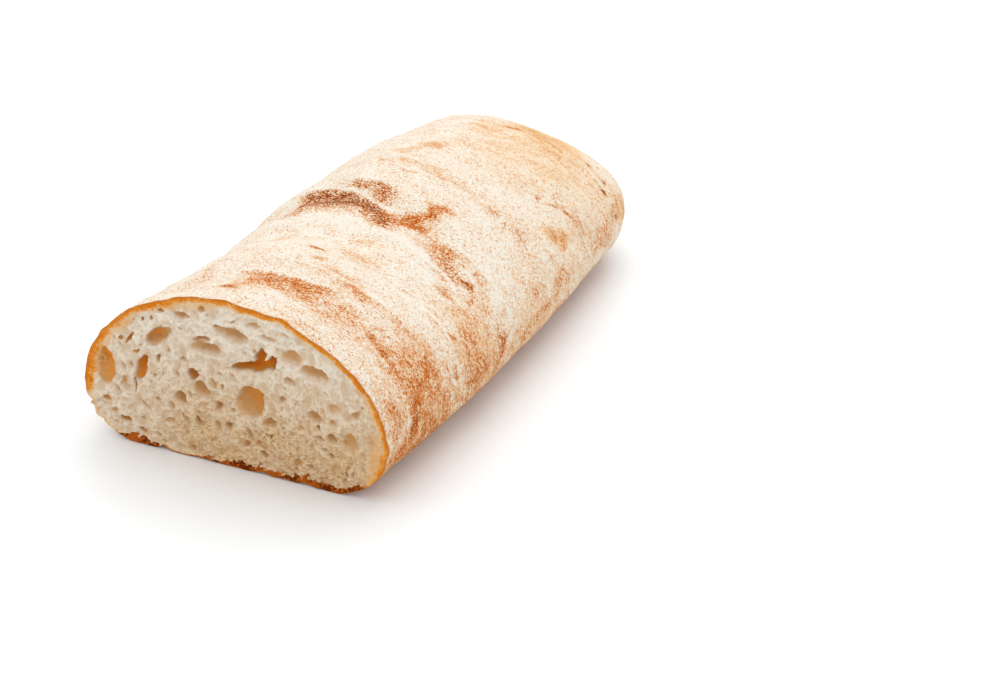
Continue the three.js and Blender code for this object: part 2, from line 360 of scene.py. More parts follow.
# where the flour is rubbed or baked off: degrees, mm back, half-sizes, lean in mm per degree, how bare,
# how brown and how golden
barePatches = [
    (71, 95.5, 8, 4.4, -0.3, 0.8, 0.05, 0), (66, 94, 4.5, 3.2, 0, 0.7, 0.05, 0),
    (67, 101, 3.6, 4, -0.8, 0.7, 0.05, 0), (62.5, 105.5, 3, 2.6, -0.3, 0.5, 0.05, 0),
    (116, 90, 6, 10, 0, 0.45, 0.7, 0), (99, 96, 13, 5, 0.1, 0.35, 0.9, 0),
    (106, 93, 12, 6, 0, 0.24, 0.5, 0), (87.5, 104.5, 5, 3.2, 0.2, 0.46, 0.5, 0),
    (77, 88, 5, 4, 0.3, 0.3, 0.5, 0), (53, 88, 8, 5, 0, 0.34, 0.15, 0),
    (26, 76, 9, 6, 0, 0.22, 0.05, 0.1), (33, 77, 3, 1.5, 0.8, 0.5, 0.4, 0),
    (50, 80.5, 10, 6, 0.15, 0.36, 0.4, 0), (39, 80.7, 4, 1.5, -0.2, 0.6, 0.5, 0),
    (43, 69.5, 3.5, 2.6, 0, 0.45, 0.2, 0), (33, 69, 3, 4, 0, 0.25, 0.2, 0),
    (5, 81.5, 6, 3, 0.3, 0.6, 0.45, 0), (22, 61, 4, 2, 0, 0.4, 0.3, 0),
    (24, 53.5, 4, 1.2, 0, 0.4, 0.3, 0), (38, 54, 4, 1.2, 0, 0.35, 0.2, 0),
    (3, 54, 5, 2.5, 0, 0.35, 0.3, 0), (53, 54, 4, 1.5, 0, 0.3, 0.1, 0),
    (11, 45.6, 5, 1, -0.15, 0.5, 0.5, 0), (-2, 40.5, 3, 1, 0, 0.6, 0.9, 0),
    (66, 38, 9, 4, 0.25, 0.32, 0, 0.2), (58, 34, 14, 3, 0, 0.32, 0.1, 0.1),
    (36, 19, 12, 2.6, 0.15, 0.4, 0.3, 0), (30, 21, 12, 9, 0, 0.3, 0.05, 0),
    (60, 20, 18, 8, 0, 0.3, 0.1, 0), (11, 22, 21, 8, -0.05, 0.6, 0.05, 0.25),
    (10, 35, 14, 7, -0.2, 0.45, 0.1, 0), (30, 33, 14, 7, 0, 0.3, 0.05, 0.3),
    (1.5, 16.5, 2.5, 1.4, 0, 0.6, 1, 0), (8, 17.5, 9, 3, 0, 0.5, 0.5, 0),
    (-14, 20, 16, 22, 0, 0.75, 0.06, 0.3), (15, 63, 17, 11, 0, 0.42, 0.1, 0.35),
    (-6, 66, 14, 20, 0, 0.32, 0.15, 0.2), (97, 10.3, 5, 1.2, 0, 0.75, 0.3, 0),
    (86, 52.5, 4.5, 1.6, 0.2, 0.75, 0.3, 0), (79.5, 44.5, 3, 1.8, 0.2, 0.4, 0.1, 0),
    (86, 40.5, 2, 1.5, 0, 0.3, 0.1, 0), (109, 61, 5, 8, 0, 0.26, 0.05, 0.1),
    (118, 25, 3, 9, 0, 0.2, 0.3, 0.1), (78, 75, 6, 3.5, 0, 0.16, 0, 0.3),
    (75, 62, 6, 3.5, 0.2, 0.22, 0, 0.3), (67, 55, 4, 3, 0, 0.22, 0.1, 0),
    (96, 142, 6, 4.5, 0, 0.32, 0.1, 0.1), (92, 150, 7, 5, -0.3, 0.28, 0, 0.4),
    (86, 155, 4.5, 5, 0, 0.28, 0.05, 0.3), (80, 128, 14, 3.5, 0, 0.2, 0.1, 0.3),
    (96, 125, 7, 1.6, 0.3, 0.2, 0.4, 0), (62, 204, 16, 12, 0, 0.42, 0, 1),
    (52, 186, 26, 22, 0, 0.25, 0, 0.9), (62, 158, 26, 16, 0, 0.12, 0, 0.6),
    (82, 187, 7, 8, 0.6, 0.25, 0, 0.7), (75, 196, 5, 2.5, -0.3, 0.35, 0.25, 0.4),
    (25, 143, 8, 6, -0.5, 0.4, 0, 0.6), (22, 162, 9, 2.4, -0.35, 0.36, 0.25, 0.2),
    (9, 201, 12, 10, 0, 0.36, 0.1, 0.5), (38, 156, 1.3, 4, 0, 0.5, 0.5, 0),
    (42, 151, 1.6, 1.3, 0, 0.5, 0.6, 0), (32, 157, 4, 1.2, -0.4, 0.4, 0.5, 0),
    (38, 200.4, 3, 1, 0, 0.5, 0.9, 0), (30, 200.5, 1.6, 1.2, 0, 0.7, 1, 0),
    (25, 194.6, 1.6, 1.1, 0, 0.7, 1, 0), (16.5, 195, 1.6, 1.1, 0, 0.7, 1, 0),
    (7, 196, 2, 1.6, 0, 0.6, 1, 0), (4, 134, 7, 7, 0.4, 0.36, 0.15, 0.3),
    (13, 112, 10, 8, -0.3, 0.2, 0.1, 0), (44, 124, 15, 7, 0, 0.14, 0.7, 0),
    (35, 123, 3, 3, 0, 0.3, 0.4, 0), (-5, 108, 7, 26, 0, 0.3, 0.05, 0.5),
    (8, 140, 24, 70, 0, 0.15, 0.05, 0.3), (-26, 110, 14, 110, 0, 0.5, 0.2, 0.3),
    (50, 6, 46, 7, 0, 0.12, 0.05, 0), (4, 46, 24, 50, 0, 0.17, 0.05, 0.35),
    (4, 176, 8, 14, 0, 0.25, 0.1, 0.2), (13, 6, 14, 5, 0, 0.34, 0.05, 0),
    (150, 40, 10, 4, 0.1, 0.5, 0.3, 0), (162, 90, 9, 16, 0.3, 0.45, 0.4, 0),
    (148, 150, 12, 5, -0.2, 0.4, 0.2, 0.3), (170, 190, 16, 18, 0, 0.4, 0.2, 0.6),
    (176, 30, 12, 24, 0, 0.5, 0.4, 0), (196, 110, 14, 110, 0, 0.6, 0.35, 0.3),
    (136, 205, 18, 9, 0, 0.3, 0.1, 0.7), (156, 68, 10, 3, 0.2, 0.4, 0.4, 0),
    (60, 224, 110, 8, 0, 0.3, 0.1, 0.8),
]
flourLook = {
    # how far the outlines of the patches are frayed, in degrees and mm, and how steep their flanks are
    "fray": (3.4, 1.9), "steepness": 1.4,
    # near the floor: how bare, brown and golden, and from which height to which it wears off
    "floor": (0.7, 0.4, 0.2), "floorHeight": (0.5, 9),
    # before any patch: flour left, how brown, and the weight of that
    "left": 0.99, "brown": 0.035, "weight": 0.08,
    # the patches are streaked by the ripples: share without them, strength, least and most
    "streaks": (0.82, 0.3, 0.3, 1.15),
    # how much flour a whole patch takes off, and the most that any takes
    "taken": 1.25, "most": 0.95,
    # flour moved by the ripples, by fine and by wide noise, and what it and the pleats fill it up to
    "ripple": 0.16, "thin": 0.2, "drift": 0.16, "full": 1.25, "pleatFull": 1.3,
}


def skinNoise(angle, y):
    # ripples that follow the pleats round the loaf, 1 - 2 |noise| and a finer noise in a frame that leans
    # back on the right, and soft blisters
    look = crustLook
    degrees = sideways(angle)
    x, z = drumPoint(angle)
    slant = look["slant"]
    for bend in look["bends"]:
        slant = slant + hump(y, *bend)
    along = y + slant * np.maximum(0, look["slantFrom"] - degrees)
    along = along - look["backSlant"] * np.maximum(0, degrees - 90)
    along = along + 2.5 * waves(x / 16, y / 18, z / 16, 11)
    broad = 1 - 2 * np.abs(waves(x / 20, along / 3.4, z / 20, 12))
    ridge = broad + 0.6 * waves(x / 11, along / 1.8, z / 11, 13)
    blisters = roughened(x / 9, y / 10, z / 9, 3, 17)
    return ridge, blisters


def pleatLayers(angle, y):
    # each pleat is a bell across its line; its band is full just in front of the line and ends softly
    look = pleatLook
    degrees = sideways(angle)
    x, z = drumPoint(angle)
    sway = look["sway"] * roughened(x / 5, y / 7, z / 5, 3, 29)
    height, flour, bands = 0, 0, []
    for start, middle, end, a, b, c, tall, half, ridgeFlourAndHighlight, wide, bare, browned in pleats:
        line, off, reach = foldLine(degrees, start, middle, end, a, b, c)
        fade = 1 - smooth(off, reach - look["fade"][0], reach + look["fade"][1])
        front = line - y + look["lineSway"] * sway
        ridge = fade * bell(front / half)
        # the pale line on each ridge is partly flour and partly a painted highlight
        height, flour = height + tall * ridge, flour + ridgeFlourAndHighlight * ridge
        near, far = (wide * share for share in look["end"])
        frayed = 1 - smooth(front + look["bandSway"] * sway, near, far)
        bands.append((bare * fade * smooth(front, 0, look["start"]) * frayed, browned, 0))
    return height, flour, bands


def flourLayers(angle, y, z, ridge, ridgeFlourAndHighlight, bands):
    # each patch is a bell in its own leaning frame, frayed by moving the point and streaked by the ripples;
    # what is left is the product over all patches, then moved by noise and filled up on the pleats, partly
    # with real flour and partly as a painted highlight along the ridges
    look = flourLook
    degrees = sideways(angle)
    x, w = drumPoint(angle)
    moved = degrees + look["fray"][0] * roughened(x / 7, y / 5, w / 7, 4, 21)
    back = y + look["fray"][1] * roughened(x / 7, y / 5, w / 7, 4, 25)
    spots = list(bands)
    for place, at, wide, deep, lean, bare, browned, golden in barePatches:
        off = np.hypot((moved - place) / wide, (back - at - lean * (moved - place)) / deep)
        spots.append((bare * bell(off ** look["steepness"]), browned, golden))
    bare, browned, golden = look["floor"]
    spots.append((bare * (1 - smooth(z, *look["floorHeight"])), browned, golden))
    left, brown, gold, weight = look["left"], look["brown"], 0, look["weight"]
    plain, streaky, least, most = look["streaks"]
    streaks = np.clip(plain + streaky * ridge, least, most)
    for amount, browned, golden in spots:
        amount = amount * streaks
        left = left * (1 - np.minimum(look["taken"] * amount, look["most"]))
        brown, gold, weight = brown + amount * browned, gold + amount * golden, weight + amount
    thin = roughened(x / 4.5, y / 3.5, w / 4.5, 3, 27)
    drift = roughened(x / 15, y / 9, w / 15, 2, 28)
    uneven = look["ripple"] * ridge + look["thin"] * thin + look["drift"] * drift
    # on the pleats the fill is partly flour and partly a painted highlight
    left = left + uneven * (look["full"] - left) + ridgeFlourAndHighlight * (look["pleatFull"] - left)
    return left, brown / weight, gold / weight


def crustStations():
    # how far back each ring lies: even steps, then closer ones round the far end, where the half-width
    # falls to nothing
    look, loaf = crustLook, loafSizes
    share = np.linspace(0, look["end"], look["along"])
    straight = loaf["length"] - loaf["nose"]
    curve = np.maximum(0, (share - 1 + look["noseShare"]) / look["noseShare"]) ** look["noseCrowding"]
    curve = curve * turn / 4
    even = straight * share / (1 - look["noseShare"])
    return np.where(curve > 0, straight + loaf["nose"] * np.sin(curve) ** (2 / loaf["nosePower"]), even)


def buildCrust(finish):
    # crustPoints over bearings and distances, grown by ripples, blisters and pleats and by the uneven edge
    look = crustLook
    angle, y = np.meshgrid(ringAngles(look["round"]), crustStations())
    ridge, blisters = skinNoise(angle, y)
    height, ridgeFlourAndHighlight, bands = pleatLayers(angle, y)
    raised = (look["ripple"] * ridge + look["blister"] * blisters + height) * smooth(y, *look["skinFade"])
    x, y, z = crustPoints(angle, y, edgeWobble(angle, y) + raised)
    z = brokenBase(x, y, z)
    dust, brown, gold = flourLayers(angle, y, z, ridge, ridgeFlourAndHighlight, bands)
    degrees = np.degrees(angle)
    missing = torn(degrees) * (1 - smooth(y, *look["tornFlour"]))
    dust = np.maximum(dust, missing)
    cut = np.maximum(y < look["cutDepth"], smooth(flap(degrees, y), *look["cutFlap"])) * (1 - missing)
    # two more rings turn the skin inwards behind the cut, to leave room for the crumb
    skin = np.stack([x, y, z], -1)
    centre = np.array([0, 0, look["throatMiddle"]])
    arm = skin[0] - centre
    length = np.linalg.norm(arm, axis=-1, keepdims=True)
    lip, back = (centre + arm * (1 - look[part] / length) for part in ("lip", "throat"))
    lip[:, 1], back[:, 1] = look["lipDepth"], look["throatDepth"]
    points = np.concatenate([[back, lip], skin])
    layers = {"dust": dust, "brown": brown, "gold": gold, "cut": cut}
    layers = {name: np.concatenate([values[:1], values[:1], values]) for name, values in layers.items()}
    rows, count = points.shape[:2]
    ring = np.arange(count)
    faces = [tubeFaces(rows, count), capFaces(ring + (rows - 1) * count), capFaces(ring[::-1])]
    around = np.concatenate([angle[:1], angle[:1], angle]) * look["wrapRadius"]
    wrap = np.stack([around, points[..., 1] * mm], -1).reshape(-1, 2)
    flat = points.reshape(-1, 3)
    where = placed(flat[:, 0], flat[:, 1], flat[:, 2])
    makePiece("crust", where, np.concatenate(faces)[:, ::-1], layers, finish, wrap)


# crumb

crumbLook = {
    # points across and up the cut, the middle of the cut, and how far the crumb keeps inside the skin
    "across": 372, "up": 214, "middle": 24, "inset": 0.12,
    # how far the crumb lies behind the crust and over which distances from the edge it falls back; how wavy
    # it is, how far its threads stand up and where both fade in; the foremost that it comes
    "step": 0.6, "stepFade": (0.8, 2.8), "wavy": 0.3, "threads": 0.16, "wavyFade": (0.3, 2), "front": -0.02,
    # from and to which distance from the edge the cells have room: a length plus a share of the thickness
    # of the crust, and the depth of a cell without room and what room adds
    "roomFrom": (0.3, 0.6), "roomTo": (1, 1.2), "shallow": (0.15, 0.85),
    # small pits are weaker in the large cells: over which depths and by how much; then their depth and how
    # strongly they show as painted shade
    "pitsFade": (0.3, 2.5), "pitsLess": 0.7, "pitDepth": 1.1, "pitTone": 1.6,
    # behind the cut the crumb is a plug: how much narrower each step is and how far back
    "plug": [(1.1, 0.9), (6.5, 13.4)],
    # how strongly the painted highlight on the pale lower lips of the cells adds to the threads
    "paintedLipHighlight": 1.2,
}
# across, up, width, height, depth, lean in degrees, how amber the inside is: a painted glow, as of light
# through the crumb
crumbCells = [
    (-46.9, 26, 8, 15.4, 2.6, 3, 0.85), (-32.2, 28.8, 4.6, 10.6, 4.5, -24, 1),
    (-34.9, 21.6, 1, 5.8, 2.5, 2, 0.9), (-24.9, 41.6, 12.4, 6.4, 3, 38, 0.2),
    (-26.8, 40.6, 8, 4.6, 3.4, 42, 0.66), (-16.7, 51, 6.6, 3, 2, 10, 0.5),
    (-8, 40.8, 12.5, 5.8, 3, 2, 0.16), (-10, 44, 7.4, 2.4, 2.2, 24, 0.45),
    (-6.6, 41.4, 5.4, 2.6, 3, 0, 0.4), (1.8, 48, 14, 5.6, 3, -3, 0.18),
    (-3.4, 49.7, 2.4, 1.8, 2.4, 20, 0.6), (8.9, 38.4, 16, 3.2, 5, 14, 1),
    (12.1, 42.8, 3.6, 7.4, 6, -24, 1), (16.6, 41.8, 3.4, 6, 6, -8, 1), (13.4, 40.6, 7, 3.4, 6, 10, 1),
    (23, 44.2, 9.4, 6.4, 2.2, 0, 0.26), (31.4, 40.9, 11.6, 6.4, 3, -8, 0.32),
    (14.9, 49.6, 7.4, 2.6, 1.5, 0, 0.15), (9.9, 53.3, 6.2, 2.4, 1.6, 0, 0.35),
    (20.4, 52.5, 4.4, 1.6, 1, -6, 0.25), (-9.6, 54.5, 3, 2.6, 1.6, 0, 0.6),
    (-24.4, 51.1, 3.4, 1.5, 1.4, 14, 0.75), (-20.2, 54.2, 3, 1.2, 1.2, 14, 0.6),
    (-14.8, 56.6, 3, 1, 1, 6, 0.6), (-31, 46.5, 1.7, 1.9, 1.4, 0, 0.85),
    (-27.6, 47.4, 1.4, 1.8, 1.4, 0, 0.8), (-24, 45.9, 1.6, 1, 1.2, 10, 0.6),
    (-36.5, 38.5, 1.3, 5.8, 2.2, -32, 0.9), (-34.3, 34.6, 3, 0.9, 1.8, 34, 0.9),
    (-39.7, 38.2, 1.7, 1.7, 1.2, 0, 0.8), (-42.2, 37.6, 1.4, 1.6, 1.2, 0, 0.8),
    (-44.6, 40.4, 1.8, 1.4, 1.2, 0, 0.7), (-40.5, 42.5, 1.6, 1.2, 1, 30, 0.6),
    (-48.4, 33.9, 3.4, 3.8, 0.8, 0, 0.7), (22.7, 35.2, 4.8, 2.3, 1.2, 0, 0.2),
    (-16.3, 34.9, 4.2, 2.4, 1.4, 10, 0.25), (-12.5, 31.2, 4, 4.3, 4.5, -20, 0.85),
    (-9.5, 25.4, 6.4, 8, 3, 8, 0.3), (7.9, 25.4, 10.2, 12.4, 4.2, -24, 0.7),
    (10.4, 29.3, 5, 4, 5, -20, 0.55), (-18, 21, 5.2, 4.8, 3, -20, 0.45),
    (-39.7, 20.4, 2.6, 8, 1.5, 0, 0.25), (-3.4, 20.6, 3.2, 5.4, 2.4, 0, 0.35),
    (15.3, 19.4, 4.8, 4.2, 2.4, 0, 0.4), (31.4, 25.6, 5.8, 4.8, 2.6, -10, 0.35),
    (32.7, 22.2, 1.1, 1.8, 2, 0, 0.6), (38, 29.6, 5.4, 4.8, 1.4, 0, 0.2),
    (37.6, 25.3, 2.4, 2, 1.4, 0, 0.35), (37.3, 19.2, 4.4, 4.6, 2.4, 10, 0.4),
    (33.3, 18.5, 3, 1.8, 1.4, 0, 0.3), (44, 18.4, 5.6, 9, 1.8, 4, 0.34),
    (0, 14.2, 3.4, 4.4, 2.6, 10, 0.45), (-4.3, 13.8, 1.8, 4.6, 1.4, 45, 0.3),
    (-12.1, 13.9, 2.5, 3.9, 2.4, 10, 0.45), (-31.2, 14, 1.6, 8, 1.2, 32, 0.15),
    (-16, 12.6, 1.8, 8, 1.4, 34, 0.2), (7.8, 12.6, 1.8, 6.4, 1.6, 22, 0.35),
    (6.3, 9.4, 3, 1.6, 1.8, 20, 0.45), (12.8, 7.2, 3, 3, 2.2, -20, 0.45),
    (12.7, 9.5, 1.8, 1.4, 1.4, 0, 0.4), (-46.7, 13.7, 3.2, 2.2, 1.8, 0, 0.7),
    (-39.5, 7.4, 5.4, 2.5, 3, 0, 0.85), (-33.6, 4.9, 3.4, 2, 2, -20, 0.55),
    (37.7, 12.8, 1.1, 3.2, 1.8, 0, 0.4), (42.6, 7.2, 2, 2.2, 1.4, 0, 0.35),
    (45.2, 8, 1.2, 1.8, 1, 0, 0.3), (29.2, 7.6, 2.6, 1.4, 1.6, 0, 0.35),
    (25.4, 6.4, 2.2, 1.2, 1.2, 0, 0.35), (-26.9, 17.6, 2.4, 1.4, 1.4, 10, 0.45),
    (-10.8, 17.6, 1.8, 1.4, 1.6, 0, 0.4), (-3, 32.9, 2.6, 2.6, 1, 0, 0.3),
    (-2.4, 28.4, 1.5, 1.8, 1.2, 0, 0.4), (-26.1, 33.3, 1.6, 3.8, 2, -14, 0.45),
    (-27.8, 26.6, 1.8, 1.4, 1.4, 20, 0.45), (14.6, 14.4, 1.6, 1.8, 1.6, 0, 0.35),
    (50.8, 15.5, 2.6, 16, 0.6, -5, 0.15), (11.2, 3.2, 2, 2.4, 2, 0, 0.9),
    (-39.6, 27, 1.8, 4.6, 1.2, 6, 0.2),
]
cellLook = {
    # how far the outlines are moved by noise, across and up, and the size of that noise
    "wobble": (0.55, 0.5), "wobbleSize": 3.4,
    # how far a floor shows to the right of where it lies and above that, as shares of its depth
    "shift": (0.08, 0.1),
    # the power of the bowl, how much deeper its upper part is and how much more painted shade it gets, each
    # with what a full tint takes off
    "byTint": [(0.9, 0.45), (0.9, 0.5), (0.8, 0.6)],
    # brightness of the painted amber glow, brighter upwards and to the right: mean, rise upwards, a little
    # more overall, rise to the right, dapple; both rises are times this last value minus the tint
    "shade": (0.72, 0.7, 0.1, 0.3, 0.14), "fullRise": 1.2,
    # where the painted amber glow and the pale lower lip of painted highlight end, and from which height on
    # a cell has that lip
    "amberEdge": (0.78, 1.03), "lipEdge": (0.8, 1.15), "lipFrom": 2.2,
}
# the spiral of fine cells: the first large cells, those of the solid, are kept clear; then how much the
# sizes, the widths and the leans swing and how fast from cell to cell
fineLook = {
    "count": 50, "goldenAngle": 2.39996, "reach": 0.9, "middle": 26, "size": 2.7, "depth": 0.45,
    "amberGlow": 0.2, "keptClear": 26, "swings": [(0.35, 1.7), (0.25, 2.9), (70, 4.1)],
}
# cells strewn by chance: the ranges that their values are drawn from, how round their leans run, and how
# far the leans are scattered, in degrees
mediumLook = {
    "count": 230, "seed": 5, "reach": 0.94, "middle": 25, "width": (1, 2.5), "widthShare": (0.6, 1),
    "thinness": (0.45, 0.9), "roundness": (0.7, 1.4), "leanSpread": 25, "deepness": (0.5, 1.0),
    "depth": 0.6, "amberGlow": 0.3,
}
# pits: how far from the side of its square each lies at least, how far that varies, its size, how far the
# leans follow the place across and the height that they run round, how far the leans vary and how long the
# pits are; then for each size of pit a shift, the spacing, the seed, the share of squares that have one, and
# the depth
pitLook = {
    "margin": 0.15, "jitter": 0.7, "size": 0.62, "around": (0.5, 34), "twist": 1.2, "long": 1.5,
    "sizes": [(0, 3, 70, 0.5, 0.45), (0, 1.7, 80, 0.7, 0.6), (0.3, 1.15, 90, 0.8, 0.7)],
}
# bearing round the cut in degrees, how strongly the crust shows there, how thick it is and how far in it
# has toasted the crumb
rims = [
    (0, 0.85, 2.4, 6), (30, 0.85, 2.1, 5), (66, 0.85, 1.9, 4.5), (80, 0.95, 2, 5), (130, 0.95, 2.4, 7.5),
    (155, 1, 3, 9), (178, 1, 3.6, 7), (186, 0.95, 3, 4), (191, 0.1, 0.8, 1.5), (214, 0.05, 0.8, 1.5),
    (222, 0.4, 1, 1.2), (250, 0.2, 1, 1), (265, 0.35, 1.2, 1.4), (300, 0.35, 1.3, 2),
    (320, 0.35, 1.4, 2.6), (330, 0.3, 1.4, 3.4), (342, 0.75, 2, 5), (360, 0.8, 2.2, 6),
]
rimBearing, rimStrength, rimThickness, toastReach = zip(*rims)
rimLook = {
    # how uneven the thickness is, how far in the crust shows, in thicknesses, how patchy it is, where the
    # toasted crumb begins and how uneven its reach is
    "uneven": 0.4, "depth": 1.5, "patchy": 0.35, "toastFrom": 0.3, "toastUneven": 0.4,
    # the golden band low on the right: distance from the edge, where it starts, its height, how strong
    "band": (1, 4.1, 1.2), "bandFrom": (40, 48), "bandHeight": (1, 17, 10), "bandRim": 0.26,
    # the dark crust underneath: height, what the middle and right and what the far left add, each with the
    # places across where that changes, and its noise
    "scorch": 0.4, "scorchRight": (0.6, -16, -6), "scorchLeft": (0.4, -32, -26), "scorchNoise": 0.45,
    # over which bearings it begins and ends, from which place across it is measured from the edge, not the
    # floor, and at which shares of its height it fades
    "underFrom": (214, 226), "underTo": (318, 335), "turnsUp": 38, "scorchFade": (0.7, 1.15),
    # the nodules in that crust: place across, half-width, height
    "nodules": [(-35, 7, 2.4), (-9, 4, 0.6), (3, 6, 1.5), (11, 2.6, 1.5), (17, 4, 1), (25, 5, 1.5),
                (28.7, 1.4, 1.2), (36, 6, 1.2), (45, 4, 1.4)],
    # the crumb is darker low down: over which heights, least share, what the right adds and from where
    "lowHeight": (3, 56), "lowShare": (0.4, 0.6), "lowFrom": (-45, -5),
}


def keptClear(x, z, wide):
    # whether a fine cell stays outside each of the large cells that the solid has too
    large = crumbCells[:fineLook["keptClear"]]
    return all(np.hypot(x - cell[0], z - cell[1]) > (cell[2] + wide) / 2 for cell in large)


def fineCells():
    # a golden-angle spiral that follows the outline of the cut; sizes, widths and leans swing as sines
    look = fineLook
    index = np.arange(look["count"])
    share = look["reach"] * np.sqrt((index + 0.5) / look["count"])
    ex, ey, ez = crustPoints((index * look["goldenAngle"]) % turn, 0.0 * index)
    larger, wider, lean = (amount * np.sin(index * pace) for amount, pace in look["swings"])
    size = look["size"] * (1 + larger)
    wide = size * (1 + wider)
    x, z = ex * share, look["middle"] + (ez - look["middle"]) * share
    return [(x[i], z[i], wide[i], size[i], size[i] * look["depth"], lean[i], look["amberGlow"])
            for i in index if keptClear(x[i], z[i], wide[i])]


def mediumCells():
    # cells of 1 to 3 mm strewn over the crumb, each lying along the crust near it
    look = mediumLook
    draw, count = np.random.default_rng(look["seed"]), look["count"]
    angle = draw.uniform(0, turn, count)
    share = look["reach"] * np.sqrt(draw.uniform(0, 1, count))
    ex, ey, ez = crustPoints(angle, angle * 0)
    wide = draw.uniform(*look["width"], count) * draw.uniform(*look["widthShare"], count)
    thin = draw.uniform(*look["thinness"], count)
    flat, steep = look["roundness"]
    lean = np.degrees(np.arctan2(np.cos(angle) * flat, -np.sin(angle) * steep))
    lean = lean + draw.normal(0, look["leanSpread"], count)
    deep = draw.uniform(*look["deepness"], count)
    x, z = ex * share, look["middle"] + (ez - look["middle"]) * share
    values = [x, z, wide, wide * thin, wide * deep * look["depth"], lean, deep * look["amberGlow"]]
    return [tuple(row) for row in np.stack(values, -1)]


def pits(x, z, spacing, seed, fill):
    # one pit in each square of a jittered grid, lying along the crust near it: the largest of
    # r sqrt(1 - d^2) over the nine squares round a point
    look = pitLook
    ix, iz = np.floor(x / spacing).astype(np.int64), np.floor(z / spacing).astype(np.int64)
    deepest, long = np.zeros_like(x), look["long"]
    across, above = look["around"]
    for dx in (-1, 0, 1):
        for dz in (-1, 0, 1):
            a, b = ix + dx, iz + dz
            aside, upward, size, twist = (scatter(a, b, a * 0, seed + k) for k in range(4))
            px = (a + look["margin"] + look["jitter"] * aside) * spacing
            pz = (b + look["margin"] + look["jitter"] * upward) * spacing
            r = spacing * look["size"] * np.maximum(size - (1 - fill), 0) / fill
            lie = np.arctan2(px * across, above - pz) + look["twist"] * (twist - 0.5)
            u = ((x - px) * np.cos(lie) - (z - pz) * np.sin(lie)) / (r * long + 1e-6)
            v = ((x - px) * np.sin(lie) + (z - pz) * np.cos(lie)) / (r / long ** 0.5 + 1e-6)
            deepest = np.maximum(deepest, r * np.sqrt(np.maximum(1 - u * u - v * v, 0)))
    return deepest


def threads(x, z, wide, high, seed):
    # 1 - 2 |noise|, a ridge wherever the noise is near 0
    return 1 - 2 * np.abs(waves(x / wide, z / high, x * 0, seed))


def cellLayers(x, z, movedX, movedZ):
    # each cell is a bowl (1 - d^2)^power in its own leaning frame; its upper part is deeper, gets more
    # painted shade and a brighter painted amber glow than its lower part, which has a pale lip of painted
    # highlight
    look = cellLook
    hollow, amberGlow, paintedShade, pale = (np.zeros_like(x) for k in range(4))
    dapple = roughened(x / 1.8, z / 1.4, x * 0, 2, 68)
    mean, up, more, right, dappled = look["shade"]
    for px, pz, wide, high, deep, lean, tint in crumbCells + fineCells() + mediumCells():
        co, si = np.cos(np.radians(lean)), np.sin(np.radians(lean))
        ox, oz = movedX - px + look["shift"][0] * deep, movedZ - pz + look["shift"][1] * deep
        a = (ox * co + oz * si) / (wide / 2)
        b = (oz * co - ox * si) / (high / 2)
        d = np.sqrt(a * a + b * b)
        upward, rise = np.clip(b, -1, 1), look["fullRise"] - tint
        power, deeper, upperShade = (amount - less * tint for amount, less in look["byTint"])
        bowl = deep * np.maximum(1 - d * d, 0) ** power * (1 + deeper * upward)
        aside = more - right * rise * np.clip(-a, -1, 1)
        shade = mean + up * rise * upward + aside + dappled * dapple
        # painted glow: the inside shines amber as if lit through the crumb, brighter up and to the right
        amberGlow = np.maximum(amberGlow, tint * shade * (1 - smooth(d, *look["amberEdge"])))
        hollow = np.maximum(hollow, bowl)
        # painted shade: the bowl's depth, made stronger in its upper part, darkens the cell
        paintedShade = np.maximum(paintedShade, bowl * (1 + upperShade * upward))
        if high > look["lipFrom"]:
            # painted highlight: the lower lip, which faces up, is paler
            pale = np.maximum(pale, (1 - tint) * (1 - smooth(d, *look["lipEdge"])) * np.maximum(-upward, 0))
    return hollow, amberGlow, paintedShade, pale


def crumbGrid():
    # a square grid bent to a disc and carried out to the outline of the cut: across, up, bearing in degrees,
    # and how far in from the edge or up from the floor, whichever is less
    look = crumbLook
    u, v = np.meshgrid(np.linspace(-1, 1, look["across"]), np.linspace(-1, 1, look["up"]))
    dx, dz = u * np.sqrt(1 - v * v / 2), v * np.sqrt(1 - u * u / 2)
    angle, reach = np.arctan2(dz, dx) % turn, np.minimum(np.hypot(dx, dz), 1)
    ex, ey, ez = crustPoints(angle, angle * 0, edgeWobble(angle, angle * 0))
    ez = brokenBase(ex, ey, ez)
    arm = np.hypot(ex, ez - look["middle"])
    shrink = reach * (1 - look["inset"] / arm)
    x, z = ex * shrink, look["middle"] + (ez - look["middle"]) * shrink
    return x, z, np.degrees(angle), np.minimum((1 - reach) * arm, z)


